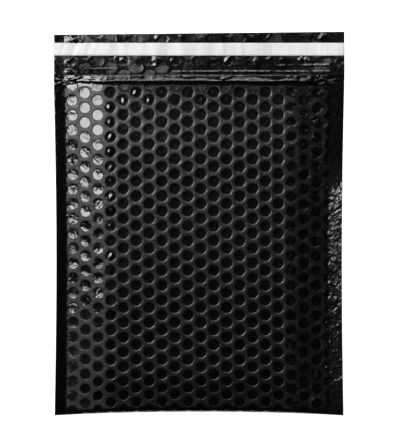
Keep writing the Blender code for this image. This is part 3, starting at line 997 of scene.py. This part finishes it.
# %% Strips
def strip(name, low, high, counts, lift, wall, look, node, slot):
    """A long grid between two corners at the height that lift gives, with a wall added below it."""
    across, along = np.meshgrid(np.linspace(low.x, high.x, counts[0]), np.linspace(low.y, high.y, counts[1]))
    across = across.ravel()
    along = along.ravel()
    index = np.arange(counts[0] * counts[1]).reshape(counts[1], counts[0])
    quads = np.stack([index[:-1, :-1], index[:-1, 1:], index[1:, 1:], index[1:, :-1]], axis=-1).reshape(-1, 4)
    mesh = bpy.data.meshes.new(name)
    mesh.from_pydata(np.column_stack([across, along, lift(across, along)]), [], quads.tolist())
    piece = make_piece(mesh, look, node)
    thicken(piece, wall, -1)
    return piece


def liner_lift(x, y):
    """Top of the liner: a little above the flap, with ripples that run across it."""
    ripples = 0.20 * waves(x / (9 * MM), y / (60 * MM), 41) + 0.07 * waves(x / (3.5 * MM), y / (30 * MM), 42)
    return flap_rest(x, y) + MM * (ripples + 0.85)


def glue_lift(x, y):
    """Top of the glue: level with the flap, a little lumpy, thinner at its two long edges."""
    middle = (glue_low.y + glue_high.y) / 2
    edge = 1 - ((y - middle) / (glue_high.y - middle)) ** 4
    return flap_rest(x, y) + MM * (0.25 + 0.1 * edge + 0.03 * waves(x / (4 * MM), y / (4 * MM), 43))


LINER_WALL = 0.12 * MM
GLUE_WALL = 0.2 * MM
liner_grid = (liner_low, liner_high, (361, 9), liner_lift, LINER_WALL)
glue_grid = (glue_low, glue_high, (181, 9), glue_lift, GLUE_WALL)
release_liner = strip("release_strip", *liner_grid, release_film(), "release_liner", "liner_film")
glue_band = strip("glue_band", *glue_grid, hot_melt(), "adhesive_strip", "adhesive")
print("the liner is", liner_high.y - liner_low.y, "wide and the glue", glue_high.y - glue_low.y)

# %% [markdown]
# ## Soft pieces
# The bag is one web of film, cut to its width and folded once. The liner is a strip laid on the glue.
# The bubble film's two layers are full of air.

# %% [markdown]
# ## Floor, lights and camera
# The photograph is cut out on white and taken from straight above, so the floor glows white by itself and
# the lens is long. Flat film mirrors what is above the camera, which must stay dark. One softbox stands
# to the upper left, where the sloping side mirrors it, and lights the gloss alone. A dim panel and a
# narrow strip beyond the flap give the glints on the lip, on the flap and on the bubbles' steep walls.
# A fill from above lights the matt surfaces alone, so it shows in the liner and the haze and mirrors
# nowhere.

# %% Floor
PIXEL = 0.82 * MM
IMAGE_HEIGHT = 448
VIEW_X = 2.38 * MM
VIEW_Y = -0.53 * MM


def white_floor():
    """Paper that glows as bright as the picture's white, so that no shadow shows on it."""
    look, tree, output = new_material("white_paper_sweep")
    glow = add(tree, "ShaderNodeEmission", Color=(1, 1, 1, 1), Strength=1.0)
    paper = add(tree, "ShaderNodeBsdfDiffuse", Color=(0.85, 0.85, 0.85, 1))
    both = tree.nodes.new("ShaderNodeAddShader")
    tree.links.new(glow.outputs[0], both.inputs[0])
    tree.links.new(paper.outputs[0], both.inputs[1])
    tree.links.new(both.outputs[0], output.inputs[0])
    return look


bpy.ops.mesh.primitive_plane_add(size=6, location=(0, 0, -0.0002))
floor = bpy.context.object
floor.name = "floor"
floor.data.materials.append(white_floor())


# %% Lights
def softbox(name, spot, aim, width, height, radiance):
    """A rectangular panel at spot that faces aim. Its power is pi times area times radiance."""
    data = bpy.data.lights.new(name, "AREA")
    data.shape = "RECTANGLE"
    data.size = width
    data.size_y = height
    data.energy = radiance * math.pi * width * height
    lamp = bpy.data.objects.new(name, data)
    lamp.location = spot
    lamp.rotation_euler = (Vector(aim) - Vector(spot)).to_track_quat("-Z", "Y").to_euler()
    bpy.context.scene.collection.objects.link(lamp)
    return lamp


side_box = softbox("softbox_upper_left", (-0.33, 0.235, 0.42), (-0.02, 0.02, 0), 0.26, 0.38, 14.0)
side_box.visible_diffuse = False
softbox("panel_top", (-0.03, 0.42, 0.42), (0, 0.05, 0), 0.7, 0.3, 2.0)
fill_above = softbox("fill_above", (0, 0.20, 1.30), (0, 0, 0), 0.8, 0.8, 3.6)
fill_above.visible_glossy = False
softbox("strip_top", (-0.05, 0.46, 0.50), (0, 0.12, 0), 0.6, 0.03, 18.0)
print("the softbox stands at", tuple(side_box.location))


def dim_studio():
    """A dark room, a little lighter towards the upper left, where light spills past the softbox."""
    world = bpy.data.worlds.new("dim_studio")
    world.use_nodes = True
    tree = world.node_tree
    tree.nodes.clear()
    towards = add(tree, "ShaderNodeTexCoord").outputs["Generated"]
    share = add(tree, "ShaderNodeVectorMath", {0: towards}, operation="DOT_PRODUCT")
    share.inputs[1].default_value = (-0.45, 0.45, 0.77)
    ramp = add(tree, "ShaderNodeValToRGB", {"Fac": share.outputs["Value"]})
    ramp.color_ramp.elements[0].position = 0.42
    ramp.color_ramp.elements[0].color = (0.003, 0.003, 0.003, 1)
    ramp.color_ramp.elements[1].position = 0.95
    ramp.color_ramp.elements[1].color = (0.12, 0.12, 0.123, 1)
    for position, grey in ((0.745, 0.012), (0.77, 0.045), (0.80, 0.085)):
        ramp.color_ramp.elements.new(position).color = (grey, grey, grey, 1)
    background = add(tree, "ShaderNodeBackground", {"Color": ramp.outputs[0]})
    output = tree.nodes.new("ShaderNodeOutputWorld")
    tree.links.new(background.outputs[0], output.inputs[0])
    return world


bpy.context.scene.world = dim_studio()

# %% Camera
camera_data = bpy.data.cameras.new("camera")
camera = bpy.data.objects.new("camera", camera_data)
bpy.context.scene.collection.objects.link(camera)
bpy.context.scene.camera = camera
CAMERA_HEIGHT = 3.0
camera.location = (VIEW_X, VIEW_Y, CAMERA_HEIGHT)
camera_data.sensor_fit = "VERTICAL"
camera_data.sensor_height = 24
camera_data.lens = camera_data.sensor_height * CAMERA_HEIGHT / (IMAGE_HEIGHT * PIXEL)
camera_data.clip_end = 20
print("the lens is", camera_data.lens, "mm long")
bpy.context.scene.view_settings.view_transform = "Standard"
bpy.context.scene.view_settings.look = "None"
